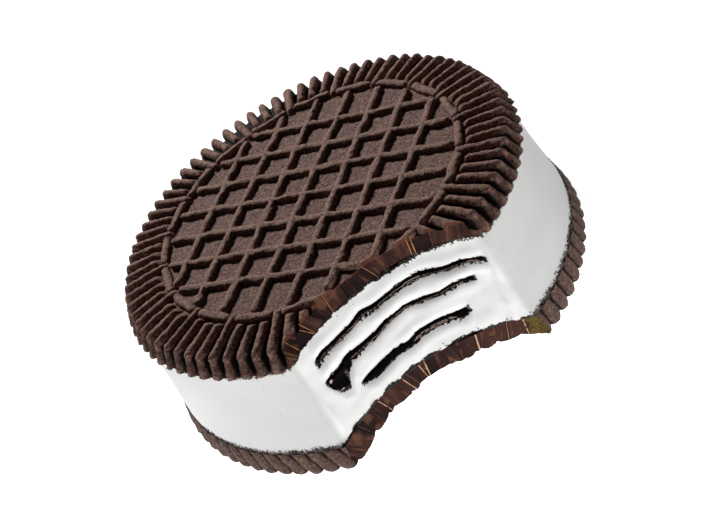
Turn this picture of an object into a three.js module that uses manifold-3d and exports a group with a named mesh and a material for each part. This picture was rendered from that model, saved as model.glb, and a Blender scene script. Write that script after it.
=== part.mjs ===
// A round chocolate sandwich cookie with a thick white cream filling and one bite taken out of it.
// Two stamped cocoa wafers hold the cream, and three thin sheets of dark chocolate ripple run
// through the cream, so that their edges show as dark lines on the bite.
// Millimetres, +Z up. The origin is the middle of the lattice on the lower wafer's stamped face,
// which is what the cookie rests on, and the bite is on the -Y side.
import * as THREE from 'three';
import { mergeVertices } from 'three/addons/utils/BufferGeometryUtils.js';
import Module from 'manifold-3d';

const wasm = await Module();
wasm.setup();

// Driving dimensions of the whole cookie
const COOKIE_HEIGHT = 28.2;
const PART_GAP = 0.3;

// The upper wafer flares towards the cream, and its stamp is deep. The lower one is a little wider,
// swells towards the table, and its stamp is shallow. On both the grooves grow shallower towards
// the cream. The lower wafer's ribs lean at the front left, most at leanAzimuth.
const TOP_WAFER = {
  height: 4.45,
  shoulderRadius: 38.6,
  edgeRadius: 40.0,
  fieldDepth: 1.0,
  ribDepth: 1.35,
  footDepth: 0.6,
  crestDrop: 0.5,
  lean: 0,
  leanAzimuth: 0,
};
const BOTTOM_WAFER = {
  height: 5.1,
  shoulderRadius: 42.0,
  edgeRadius: 41.0,
  fieldDepth: 0.8,
  ribDepth: 0.8,
  footDepth: 0.6,
  crestDrop: 0.2,
  lean: 2.2,
  leanAzimuth: THREE.MathUtils.degToRad(-130),
};

// The lower wafer and the cream's foot lie a little off the upper wafer's axis.
const LOWER_SHIFT = { x: 0.4, y: -0.5 };

// The stamped pattern: a square lattice inside a ring of dashes, and ribs round the rim
const PATTERN_TURN = THREE.MathUtils.degToRad(-39.2);
const LATTICE_PITCH = 6.8;
const LATTICE_LINES_EACH_SIDE = 3;
const LATTICE_REACH = 28.2;
const TOP_LATTICE_SHIFT = { x: -0.5, y: 0.45 };
const RIDGE_WIDTH = 1.8;
const RIDGE_CREST_WIDTH = 0.7;
const DASH_COUNT = 20;
const DASH_RING_RADIUS = 29.5;
const DASH_LENGTH = 7.6;
const RIBS_PER_DASH = 4;
const SHORT_RIB_START = 31.1;
const LONG_RIB_START = 28.9;
const SHOULDER_SIZE = 0.5;

// The cream between the wafers, wider at the bottom
const CREAM_TOP_RADIUS = 38.7;
const CREAM_MIDDLE_RADIUS = 39.8;
const CREAM_BOTTOM_RADIUS = 41.0;

// The bite is one round mouthful whose edge is uneven where each tooth cut.
const TOP_BITE = { x: 2.5, y: -55.5, radius: 28.4, toothPhase: 0.4 };
const CREAM_BITE = { x: 2.1, y: -57.8, radius: 29.6, toothPhase: 1.7 };
const BOTTOM_BITE = { x: 2.1, y: -58.6, radius: 29.5, toothPhase: 2.9 };
const TOOTH_WIDTH = 8.5;
const TOOTH_DEPTH = 0.45;
const CHIP_WIDTH = 3.4;
const CHIP_DEPTH = 0.25;
const BITE_STEPS = 30;

// The chocolate sheets, from the top one down: height of the sheet's middle above the table,
// radius, and how far its centre lies to the right
const SHEETS = [
  { name: 'chocolate_layer_upper', height: 19.5, radius: 36.7, shift: 1.0 },
  { name: 'chocolate_layer_middle', height: 15.3, radius: 35.6, shift: 0.0 },
  { name: 'chocolate_layer_lower', height: 9.7, radius: 32.2, shift: 0.6 },
];
const SHEET_THICKNESS = 0.9;
const SHEET_WAVE_HEIGHT = 0.45;
const SHEET_WAVE_LENGTH = 34;
const SHEET_SPOKES = 26;
const SHEET_RINGS = [0.55, 0.94];

// Chocolate that has pooled at the left end of the middle sheet
const POOL = { x: -12.3, y: -31.0, z: 13.8, width: 3.6, height: 4.8 };

// Closed meshes and solids

function solidFrom(geometry) {
  const bare = geometry.clone();
  bare.deleteAttribute('normal');
  bare.deleteAttribute('uv');
  const merged = mergeVertices(bare);
  const corners = merged.index.array;
  const kept = [];
  for (let i = 0; i < corners.length; i += 3) {
    const [a, b, c] = [corners[i], corners[i + 1], corners[i + 2]];
    if (a !== b && b !== c && c !== a) kept.push(a, b, c);
  }
  return new wasm.Manifold(new wasm.Mesh({
    numProp: 3,
    vertProperties: new Float32Array(merged.attributes.position.array),
    triVerts: new Uint32Array(kept),
  }));
}

function meshFrom(solid, name, material) {
  const { vertProperties, triVerts } = solid.getMesh();
  const indexed = new THREE.BufferGeometry();
  indexed.setAttribute('position', new THREE.BufferAttribute(vertProperties, 3));
  indexed.setIndex(new THREE.BufferAttribute(triVerts, 1));
  const geometry = indexed.toNonIndexed();
  geometry.computeVertexNormals();
  const mesh = new THREE.Mesh(geometry, material);
  mesh.name = name;
  return mesh;
}

function turned(points, segments) {
  return new THREE.LatheGeometry(points.map(([r, z]) => new THREE.Vector2(r, z)), segments)
    .rotateX(Math.PI / 2);
}

// A long mound with rounded ends and sloping flanks, lying along X with its crest at z = 0
function mound(length, fieldDepth) {
  const half = RIDGE_WIDTH / 2;
  const straight = length / 2 - half;
  const outline = new THREE.Shape();
  outline.absarc(straight, 0, half, -Math.PI / 2, Math.PI / 2);
  outline.absarc(-straight, 0, half, Math.PI / 2, 3 * Math.PI / 2);
  const slope = fieldDepth + 0.1;
  const flank = (RIDGE_WIDTH - RIDGE_CREST_WIDTH) / 2;
  const root = 0.2;
  const geometry = new THREE.ExtrudeGeometry(outline, {
    depth: root,
    curveSegments: 3,
    bevelEnabled: true,
    bevelSegments: 1,
    bevelThickness: slope,
    bevelSize: flank,
    bevelOffset: -flank,
  });
  return geometry.translate(0, 0, -slope - root);
}

// The bite's plan outline is an arc whose radius swings with the teeth and the chips between them.
function biteCutter({ x, y, radius, toothPhase }) {
  const outline = new THREE.Shape();
  const open = THREE.MathUtils.degToRad(78);
  for (let i = 0; i <= BITE_STEPS; i += 1) {
    const angle = Math.PI / 2 - open + 2 * open * i / BITE_STEPS;
    const along = angle * radius;
    const teeth = TOOTH_DEPTH * Math.sin(2 * Math.PI * along / TOOTH_WIDTH + toothPhase);
    const chips = CHIP_DEPTH * Math.sin(2 * Math.PI * along / CHIP_WIDTH + 2 * toothPhase);
    const reach = radius + teeth + chips;
    const point = [x + reach * Math.cos(angle), y + reach * Math.sin(angle)];
    if (i === 0) outline.moveTo(...point);
    else outline.lineTo(...point);
  }
  outline.lineTo(x - radius, y - radius);
  outline.lineTo(x + radius, y - radius);
  outline.closePath();
  const below = 5;
  const geometry = new THREE.ExtrudeGeometry(outline, {
    depth: COOKIE_HEIGHT + 2 * below,
    bevelEnabled: false,
  });
  return solidFrom(geometry.translate(0, 0, -below));
}

// Wafers

// The wafer's round body with its ribbed rim. Four steps make one rib and one groove: the rib's
// crest lies between the first two and the groove's floor between the last two. Every fourth rib
// is a long one, which reaches in between two dashes.
function ribbedBody(wafer) {
  const { height, shoulderRadius, edgeRadius, fieldDepth, ribDepth, footDepth, crestDrop } = wafer;
  const ribCount = DASH_COUNT * RIBS_PER_DASH;
  const stepsPerRib = 4;
  const crest = (start) => [
    [0, -height],
    [edgeRadius, -height],
    [shoulderRadius, -crestDrop - SHOULDER_SIZE],
    [shoulderRadius - SHOULDER_SIZE, -crestDrop],
    [start + SHOULDER_SIZE, 0],
    [start, -fieldDepth],
    [0, -fieldDepth],
  ];
  const groove = crest(SHORT_RIB_START).map(([r, z]) => [r, z]);
  groove[1][0] -= footDepth;
  groove[2] = [shoulderRadius - ribDepth, -crestDrop - SHOULDER_SIZE - ribDepth];
  groove[3] = [shoulderRadius - ribDepth - SHOULDER_SIZE, -crestDrop - ribDepth];
  groove[4] = [SHORT_RIB_START + 2 * SHOULDER_SIZE, -ribDepth];
  const columns = ribCount * stepsPerRib;
  const rows = groove.length;
  const geometry = turned(groove, columns);
  const { position } = geometry.attributes;
  for (let i = 0; i < position.count; i += 1) {
    const column = Math.floor(i / rows);
    const onCrest = column % stepsPerRib < stepsPerRib / 2;
    const isLong = Math.floor(column / stepsPerRib) % RIBS_PER_DASH === RIBS_PER_DASH / 2;
    const outline = onCrest ? crest(isLong ? LONG_RIB_START : SHORT_RIB_START) : groove;
    const [r, z] = outline[i % rows];
    let angle = PATTERN_TURN + 2 * Math.PI * ((column % columns) - 0.5) / columns;
    // The lower wafer is built face up and turned over later, so its azimuths change sign.
    const share = Math.max(0, Math.cos(angle + wafer.leanAzimuth)) ** 2;
    if (i % rows === 1) angle += share * wafer.lean / edgeRadius;
    position.setXYZ(i, r * Math.cos(angle), r * Math.sin(angle), z);
  }
  return solidFrom(geometry);
}

// The lattice is a thin plate pierced by square holes that narrow downwards.
function lattice(shift, fieldDepth) {
  const below = fieldDepth + 0.2;
  const flank = (RIDGE_WIDTH - RIDGE_CREST_WIDTH) / 2;
  let solid = solidFrom(turned([
    [0, -below],
    [LATTICE_REACH + flank, -below],
    [LATTICE_REACH, 0],
    [0, 0],
  ], 36));
  const above = 0.4;
  const flare = flank / fieldDepth;
  const halfAtCrest = (LATTICE_PITCH - RIDGE_CREST_WIDTH) / 2;
  const halfAbove = halfAtCrest + flare * above;
  const halfBelow = halfAtCrest - flare * (below + above);
  const depth = below + 2 * above;
  const cell = new THREE.CylinderGeometry(halfAbove * Math.SQRT2, halfBelow * Math.SQRT2, depth, 4)
    .rotateX(Math.PI / 2)
    .rotateZ(Math.PI / 4)
    .translate(0, 0, above - depth / 2);
  // The outermost holes are cut twice, the second time half a pitch further out, so that they open
  // through the plate's rim.
  const last = LATTICE_LINES_EACH_SIDE + 0.5;
  const places = [-last - 0.5];
  for (let place = -last; place <= last; place += 1) places.push(place);
  places.push(last + 0.5);
  const farthest = LATTICE_REACH + LATTICE_PITCH / 2;
  for (const u of places) {
    for (const v of places) {
      if (Math.hypot(u, v) * LATTICE_PITCH > farthest) continue;
      const hole = cell.clone().translate(u * LATTICE_PITCH, v * LATTICE_PITCH, 0);
      hole.rotateZ(PATTERN_TURN).translate(shift.x, shift.y, 0);
      solid = solid.subtract(solidFrom(hole));
    }
  }
  return solid;
}

// A stamped wafer with its crests at z = 0 and its plain inner side at z = -height
function stampedWafer(wafer, latticeShift) {
  let solid = ribbedBody(wafer).add(lattice(latticeShift, wafer.fieldDepth));
  for (let i = 0; i < DASH_COUNT; i += 1) {
    const dash = mound(DASH_LENGTH, wafer.fieldDepth).rotateZ(Math.PI / 2).translate(DASH_RING_RADIUS, 0, 0);
    solid = solid.add(solidFrom(dash.rotateZ(PATTERN_TURN + 2 * Math.PI * i / DASH_COUNT)));
  }
  return solid;
}

function topWafer() {
  const solid = stampedWafer(TOP_WAFER, TOP_LATTICE_SHIFT).translate(0, 0, COOKIE_HEIGHT);
  return solid.subtract(biteCutter(TOP_BITE));
}

function bottomWafer() {
  const latticeShift = { x: -LOWER_SHIFT.x, y: LOWER_SHIFT.y };
  const solid = stampedWafer(BOTTOM_WAFER, latticeShift).rotate(180, 0, 0);
  return solid.translate(LOWER_SHIFT.x, LOWER_SHIFT.y, 0).subtract(biteCutter(BOTTOM_BITE));
}

// Cream and chocolate

// A thin wavy sheet, thicker and wider by "grow" on every side where it stands for its own slot
function chocolateSheet({ height, radius, shift }, grow) {
  const half = SHEET_THICKNESS / 2 + grow;
  const rings = SHEET_RINGS.map((part) => part * radius);
  const lower = rings.map((r) => [r, -half]);
  const upper = rings.map((r) => [r, half]).reverse();
  const rim = radius + grow;
  const profile = [[0, -half], ...lower, [rim, -half / 3], [rim, half / 3], ...upper, [0, half]];
  const geometry = turned(profile, SHEET_SPOKES);
  const { position } = geometry.attributes;
  const wave = 2 * Math.PI / SHEET_WAVE_LENGTH;
  for (let i = 0; i < position.count; i += 1) {
    const [x, y] = [position.getX(i), position.getY(i)];
    const lift = SHEET_WAVE_HEIGHT * Math.cos(wave * x) * Math.sin(wave * (y + height));
    position.setZ(i, position.getZ(i) + lift);
  }
  return solidFrom(geometry.translate(shift, 0, height));
}

function chocolatePool(grow) {
  const geometry = new THREE.IcosahedronGeometry(1, 1);
  geometry.scale(POOL.width / 2 + grow, POOL.width / 2 + grow, POOL.height / 2 + grow);
  return solidFrom(geometry.translate(POOL.x, POOL.y, POOL.z));
}

function chocolateLayer(sheet, grow) {
  const solid = chocolateSheet(sheet, grow);
  return sheet.name === 'chocolate_layer_middle' ? solid.add(chocolatePool(grow)) : solid;
}

// The cream's foot follows the lower wafer, and its top the upper one.
function creamFilling() {
  const bottom = BOTTOM_WAFER.height + PART_GAP;
  const top = COOKIE_HEIGHT - TOP_WAFER.height - PART_GAP;
  const geometry = turned([
    [0, bottom],
    [CREAM_BOTTOM_RADIUS, bottom],
    [CREAM_MIDDLE_RADIUS, (bottom + top) / 2],
    [CREAM_TOP_RADIUS, top],
    [0, top],
  ], 54);
  const { position } = geometry.attributes;
  for (let i = 0; i < position.count; i += 1) {
    const share = (top - position.getZ(i)) / (top - bottom);
    position.setX(i, position.getX(i) + share * LOWER_SHIFT.x);
    position.setY(i, position.getY(i) + share * LOWER_SHIFT.y);
  }
  let solid = solidFrom(geometry);
  for (const sheet of SHEETS) solid = solid.subtract(chocolateLayer(sheet, PART_GAP));
  return solid.subtract(biteCutter(CREAM_BITE));
}

// The cookie, put together

const cocoa = () => new THREE.MeshStandardMaterial({ color: 0x4b3a33, roughness: 0.85, metalness: 0 });
const cream = new THREE.MeshStandardMaterial({ color: 0xf2f2f0, roughness: 0.45, metalness: 0 });
const chocolate = () => new THREE.MeshStandardMaterial({ color: 0x1d100d, roughness: 0.25, metalness: 0 });

const cookie = new THREE.Group();
cookie.add(meshFrom(topWafer(), 'top_wafer', cocoa()));
cookie.add(meshFrom(bottomWafer(), 'bottom_wafer', cocoa()));
cookie.add(meshFrom(creamFilling(), 'cream_filling', cream));
for (const sheet of SHEETS) {
  const solid = chocolateLayer(sheet, 0).subtract(biteCutter(CREAM_BITE));
  cookie.add(meshFrom(solid, sheet.name, chocolate()));
}

export default cookie;
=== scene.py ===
import math
import random

import bpy
import numpy as np
from mathutils import Euler, Matrix, Vector, noise


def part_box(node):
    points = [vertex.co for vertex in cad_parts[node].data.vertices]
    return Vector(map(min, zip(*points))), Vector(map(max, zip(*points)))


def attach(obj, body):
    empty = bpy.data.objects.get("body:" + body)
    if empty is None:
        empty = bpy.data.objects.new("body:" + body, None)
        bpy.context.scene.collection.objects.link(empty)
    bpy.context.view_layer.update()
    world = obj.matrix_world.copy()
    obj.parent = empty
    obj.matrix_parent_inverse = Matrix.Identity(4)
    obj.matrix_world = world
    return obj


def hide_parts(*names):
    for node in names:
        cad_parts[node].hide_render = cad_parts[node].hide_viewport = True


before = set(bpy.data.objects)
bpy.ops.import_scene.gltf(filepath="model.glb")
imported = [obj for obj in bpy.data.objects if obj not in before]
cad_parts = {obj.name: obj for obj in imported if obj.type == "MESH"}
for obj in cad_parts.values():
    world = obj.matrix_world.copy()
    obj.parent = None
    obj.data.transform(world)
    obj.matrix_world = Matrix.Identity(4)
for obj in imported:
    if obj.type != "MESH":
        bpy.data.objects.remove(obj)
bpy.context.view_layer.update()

MM = 0.001

# Camera
# The camera looks down on the bite from the front. It is rolled, so that the cookie leans to the
# left in the picture, and it has a long lens about 28 cm away.
CAMERA_AIM = Vector((0.0, -7.2, 14.1)) * MM
CAMERA_DISTANCE = 278.2 * MM
CAMERA_ELEVATION = math.radians(35.24)
CAMERA_ROLL = math.radians(33.4)
LENS = 78.43

camera = bpy.data.objects.new("camera", bpy.data.cameras.new("camera"))
bpy.context.scene.collection.objects.link(camera)
camera.data.sensor_width = 36.0
camera.data.lens = LENS
camera.data.clip_start = 0.01
camera.data.clip_end = 10.0
back = Vector((0.0, -math.cos(CAMERA_ELEVATION), math.sin(CAMERA_ELEVATION)))
tilt = Euler((math.pi / 2 - CAMERA_ELEVATION, 0.0, 0.0)).to_matrix()
turn = tilt @ Matrix.Rotation(-CAMERA_ROLL, 3, "Z")
camera.matrix_world = Matrix.LocRotScale(CAMERA_AIM + back * CAMERA_DISTANCE, turn, None)
bpy.context.scene.camera = camera
bpy.context.scene.view_settings.view_transform = "Standard"

# Light
# A low lamp behind the cookie picks out the stamped pattern. The glowing table and the pale
# surroundings do the rest.
KEY_AZIMUTH = math.radians(98.0)
KEY_ELEVATION = math.radians(31.0)
KEY_DISTANCE = 0.9
KEY_SIZE = 0.10
KEY_POWER = 8.9
SKY_STRENGTH = 0.015

lamp = bpy.data.objects.new("key_light", bpy.data.lights.new("key_light", "AREA"))
bpy.context.scene.collection.objects.link(lamp)
lamp.data.shape = "SQUARE"
lamp.data.size = KEY_SIZE
lamp.data.energy = KEY_POWER
lamp.visible_camera = False
toward_lamp = Vector((
    math.cos(KEY_AZIMUTH) * math.cos(KEY_ELEVATION),
    math.sin(KEY_AZIMUTH) * math.cos(KEY_ELEVATION),
    math.sin(KEY_ELEVATION),
))
lamp.matrix_world = Matrix.LocRotScale(
    CAMERA_AIM + toward_lamp * KEY_DISTANCE, toward_lamp.to_track_quat("Z", "Y"), None)

# Floor and surroundings
# The cookie stands on a plain white glowing table, like the ones that small things are
# photographed on, in a plain pale room. The table glows most in front of the bite.


class Link:
    """One output of a node. Python's own arithmetic on it adds Math nodes."""

    def __init__(self, graph, socket):
        self.graph = graph
        self.socket = socket

    def output(self, name):
        """Another output of the same node."""
        outputs = [o for o in self.socket.node.outputs if o.enabled]
        return Link(self.graph, next(o for o in outputs if o.name == name))

    def math(self, operation, *values):
        sockets = dict(enumerate(values))
        return self.graph.node("ShaderNodeMath", {"operation": operation}, sockets)

    def __add__(self, other):
        return self.math("ADD", self, other)

    def __radd__(self, other):
        return self.math("ADD", other, self)

    def __sub__(self, other):
        return self.math("SUBTRACT", self, other)

    def __rsub__(self, other):
        return self.math("SUBTRACT", other, self)

    def __mul__(self, other):
        return self.math("MULTIPLY", self, other)

    def __rmul__(self, other):
        return self.math("MULTIPLY", other, self)

    def __truediv__(self, other):
        return self.math("DIVIDE", self, other)

    def __rtruediv__(self, other):
        return self.math("DIVIDE", other, self)

    def __pow__(self, other):
        return self.math("POWER", self, other)

    def __gt__(self, other):
        return self.math("GREATER_THAN", self, other)

    def __lt__(self, other):
        return self.math("LESS_THAN", self, other)

    def __abs__(self):
        return self.math("ABSOLUTE", self)

    def at_least(self, other):
        return self.math("MAXIMUM", self, other)

    def at_most(self, other):
        return self.math("MINIMUM", self, other)

    def clipped(self):
        """The value kept between 0 and 1."""
        return self.graph.node("ShaderNodeClamp", {}, {"Value": self})

    def eased(self, low, high):
        """A smooth step from 0 at low to 1 at high."""
        return self.graph.node(
            "ShaderNodeMapRange",
            {"interpolation_type": "SMOOTHSTEP"},
            {"Value": self, "From Min": low, "From Max": high, "To Min": 0.0, "To Max": 1.0})


class Graph:
    """A node tree under construction."""

    def __init__(self, tree):
        self.tree = tree

    def node(self, kind, settings, sockets):
        """Adds a node of that type, with its settings made first and then its sockets fed."""
        made = self.tree.nodes.new(kind)
        for name, value in settings.items():
            if name == "stops":
                self.set_stops(made.color_ramp, value)
            else:
                setattr(made, name, value)
        for key, value in sockets.items():
            self.feed(made, key, value)
        outputs = [o for o in made.outputs if o.enabled]
        return Link(self, outputs[0]) if outputs else None

    def set_stops(self, ramp, stops):
        while len(ramp.elements) < len(stops):
            ramp.elements.new(1.0)
        for element, (place, colour) in zip(ramp.elements, stops):
            element.position = place
            element.color = colour

    def feed(self, made, key, value):
        if isinstance(key, int):
            socket = made.inputs[key]
        else:
            socket = next(i for i in made.inputs if i.enabled and i.name == key)
        for each in value if isinstance(value, list) else [value]:
            if isinstance(each, Link):
                self.tree.links.new(each.socket, socket)
            else:
                socket.default_value = each

    def vector(self, operation, *values):
        sockets = dict(enumerate(values))
        return self.node("ShaderNodeVectorMath", {"operation": operation}, sockets)

    def scaled(self, vector, amount):
        sockets = {0: vector, "Scale": amount}
        return self.node("ShaderNodeVectorMath", {"operation": "SCALE"}, sockets)

    def point(self, x=0.0, y=0.0, z=0.0):
        return self.node("ShaderNodeCombineXYZ", {}, {0: x, 1: y, 2: z})

    def axes(self, vector):
        """The vector's X, Y and Z."""
        parts = self.node("ShaderNodeSeparateXYZ", {}, {0: vector})
        return [parts.output(axis) for axis in "XYZ"]

    def attribute(self, name, output):
        return self.node("ShaderNodeAttribute", {"attribute_name": name}, {}).output(output)

    def bump(self, height, strength, distance):
        sockets = {"Strength": strength, "Distance": distance, "Height": height}
        return self.node("ShaderNodeBump", {}, sockets)

    def moved(self, mesh, offset):
        """A mesh whose points are each moved by that much."""
        return self.node("GeometryNodeSetPosition", {}, {"Geometry": mesh, "Offset": offset})

    def copies(self, points, instance, **how):
        """One mesh or set of curves from copies of an instance at the points."""
        sockets = {"Points": points, "Instance": instance, **how}
        placed = self.node("GeometryNodeInstanceOnPoints", {}, sockets)
        return self.node("GeometryNodeRealizeInstances", {}, {"Geometry": placed})

    def mixed(self, factor, first, second, blend="MIX"):
        """Two colours mixed."""
        return self.node(
            "ShaderNodeMix",
            {"data_type": "RGBA", "blend_type": blend},
            {"Factor": factor, "A": first, "B": second})

    def noise(self, place, size, detail=2.0, roughness=0.5):
        """Soft noise about 0.5, with features about that many metres across."""
        return self.node(
            "ShaderNodeTexNoise",
            {},
            {"Vector": place, "Scale": 1.0 / size, "Detail": detail, "Roughness": roughness})


def new_material(name):
    """A material with its shader, and the graph and Object coordinates to build its colours with."""
    material = bpy.data.materials.new(name)
    material.use_nodes = True
    tree = material.node_tree
    shader = next(n for n in tree.nodes if n.type == "BSDF_PRINCIPLED")
    graph = Graph(tree)
    place = graph.node("ShaderNodeTexCoord", {}, {}).output("Object")
    return material, shader, graph, place


def rgb(red, green, blue):
    """An sRGB colour of 0 to 255 as Blender's linear values."""
    shares = [c / 255 for c in (red, green, blue)]
    linear = [((s + 0.055) / 1.055) ** 2.4 if s > 0.04045 else s / 12.92 for s in shares]
    return (*linear, 1.0)


def link_mesh(name, points, faces, materials=()):
    """A new object in the scene from points and faces."""
    mesh = bpy.data.meshes.new(name)
    mesh.from_pydata([tuple(p) for p in points], [], faces)
    for material in materials:
        mesh.materials.append(material)
    mesh.update()
    piece = bpy.data.objects.new(name, mesh)
    bpy.context.scene.collection.objects.link(piece)
    return piece


def store(piece, label, values):
    """One number for each point of the piece's mesh."""
    layer = piece.data.attributes.new(label, "FLOAT", "POINT")
    layer.data.foreach_set("value", values)


FLOOR_REACH = 3.0
FLOOR_GLOW = 2.0
FLOOR_DIMMEST = 0.48
BRIGHT_SIDE = math.radians(-112.0)
FLOOR_DROP = 0.15 * MM

table, shader, graph, place = new_material("glowing_table")
speckle = graph.noise(place, 0.02)
graph.feed(shader, "Base Color", graph.mixed(speckle, rgb(146, 146, 146), rgb(150, 150, 150)))
facing = (math.cos(BRIGHT_SIDE), math.sin(BRIGHT_SIDE), 0.0)
toward = graph.vector("DOT_PRODUCT", graph.vector("NORMALIZE", place), facing).output("Value")
dim = (FLOOR_DIMMEST, FLOOR_DIMMEST, FLOOR_DIMMEST, 1.0)
graph.feed(shader, "Emission Color", graph.mixed(toward.eased(-0.2, 0.45), dim, (1.0, 1.0, 1.0, 1.0)))
graph.feed(shader, "Emission Strength", FLOOR_GLOW)
graph.feed(shader, "Roughness", 0.9)
signs = ((-1, -1), (1, -1), (1, 1), (-1, 1))
corners = [(x * FLOOR_REACH, y * FLOOR_REACH, -FLOOR_DROP) for x, y in signs]
floor = link_mesh("table_top", corners, [(0, 1, 2, 3)], [table])

room = bpy.data.worlds.new("pale_room")
room.use_nodes = True
bpy.context.scene.world = room
graph = Graph(room.node_tree)
background = next(n for n in room.node_tree.nodes if n.type == "BACKGROUND")
background.inputs["Color"].default_value = (1.0, 1.0, 1.0, 1.0)
seen = graph.node("ShaderNodeLightPath", {}, {}).output("Is Camera Ray")
graph.tree.links.new((seen * (1.0 - SKY_STRENGTH) + SKY_STRENGTH).socket, background.inputs["Strength"])


# The two cocoa wafers
# Each is a baked round of dark cocoa dough, stamped on its outer side with a square lattice inside
# a ring of dashes and with ribs that run out and down over the rim. The blank is turned, the ribs
# are pushed up from it, and the lattice and the dashes are laid on and joined to it.
PATTERN_TURN = math.radians(-39.05)
LATTICE_PITCH = 6.8 * MM
LATTICE_REACH = 28.6 * MM
RIDGE_WIDTH = 1.6 * MM
DASH_COUNT = 20
DASH_RING_RADIUS = 29.5 * MM
DASH_LENGTH = 7.9 * MM
RIBS_PER_DASH = 4
SHORT_RIB_START = 31.0 * MM
LONG_RIB_START = 28.8 * MM
SHOULDER_SIZE = 0.9 * MM
# The middle of the upper lattice, measured from the wafer's axis
TOP_LATTICE_SHIFT = Vector((-0.5, 0.45, 0.0)) * MM
# The lower wafer lies a little off the upper one's axis, with its own lattice at the origin.
LOWER_SHIFT = Vector((0.4, -0.5, 0.0)) * MM
TOP_SHOULDER = 38.6 * MM
BOTTOM_EDGE = 41.0 * MM
# One rib and one groove take twelve columns of the blank, close together on the rib's flanks.
RIB_COLUMNS = (-0.41, -0.36, -0.30, -0.22, -0.11, 0.0, 0.11, 0.22, 0.30, 0.36, 0.41, 0.5)
# The upper wafer's stamp is deep, with narrow grooves. The lower one's is shallow and rope-like.
TOP_STAMP = {
    "field": 0.95 * MM, "rib": 1.35 * MM, "foot": 0.6 * MM, "drop": 0.5 * MM, "half": 0.35, "curve": 2.4,
    "bulge": 0.0, "lean": 0.0, "grain": 0.14 * MM,
}
BOTTOM_STAMP = {
    "field": 0.8 * MM, "rib": 0.8 * MM, "foot": 0.6 * MM, "drop": 0.2 * MM, "half": 0.46, "curve": 1.7,
    "bulge": 0.1 * MM, "lean": 2.2 * MM, "grain": 0.10 * MM,
}
# The lower wafer's ribs lean most at this azimuth.
LEAN_AZIMUTH = math.radians(-130.0)
FINE_STEP = 0.34 * MM
FIELD_STEP = 0.7 * MM
BAR_STEP = 0.36 * MM
BAR_DEPTH = 1.35 * MM
# No bar is quite straight: it strays sideways and up by about half of this, over a few millimetres.
BAR_STRAY = (1.1 * MM, 1.1 * MM, 0.3 * MM)
STRAY_SIZE = 3.5 * MM


def wafer_rows(height, edge_radius, shoulder_radius, stamp):
    """The blank's outline, from its plain side round the rim to the field. Each row is a point of
    the grooves' floor and a point of the ribs' crest, with crests at z = 0."""
    depths = [stamp[part] for part in ("rib", "foot", "field", "drop")]
    rib_depth, foot_depth, field_depth, crest_drop = depths
    inner_radii = (edge_radius - 4.0 * MM, edge_radius - 2.6 * MM)
    rows = [(radius, -height, radius, -height) for radius in inner_radii]
    top_of_side = -crest_drop - SHOULDER_SIZE
    side_steps = round((height + top_of_side) / FINE_STEP)
    for i in range(side_steps + 1):
        t = i / side_steps
        out = edge_radius + (shoulder_radius - edge_radius) * t + stamp["bulge"] * math.sin(math.pi * t)
        crest_z = -height + (height + top_of_side) * t
        floor_z = -height + (height + top_of_side - rib_depth) * t
        rows.append((out - foot_depth - (rib_depth - foot_depth) * t, floor_z, out, crest_z))
    for i in (1, 2, 3):
        angle = math.pi / 2 * i / 3
        out = shoulder_radius - SHOULDER_SIZE * (1 - math.cos(angle))
        crest_z = top_of_side + SHOULDER_SIZE * math.sin(angle)
        rows.append((out - rib_depth, crest_z - rib_depth, out, crest_z))
    outer = shoulder_radius - SHOULDER_SIZE
    inner = LONG_RIB_START - 0.3 * MM
    steps = round((outer - inner) / FINE_STEP)
    for i in range(1, steps + 1):
        crest_r = outer + (inner - outer) * i / steps
        t = (crest_r - inner) / (outer - inner)
        crest_z = -crest_drop * max(0.0, (crest_r - SHORT_RIB_START) / (outer - SHORT_RIB_START))
        floor_r = inner + (outer - rib_depth - inner) * t
        fall = min(1.0, max(0.0, (crest_r - SHORT_RIB_START) / (1.6 * MM)))
        floor_z = crest_z - field_depth - (rib_depth - field_depth) * fall * fall * (3 - 2 * fall)
        rows.append((floor_r, floor_z, crest_r, crest_z))
    return rows


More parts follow.
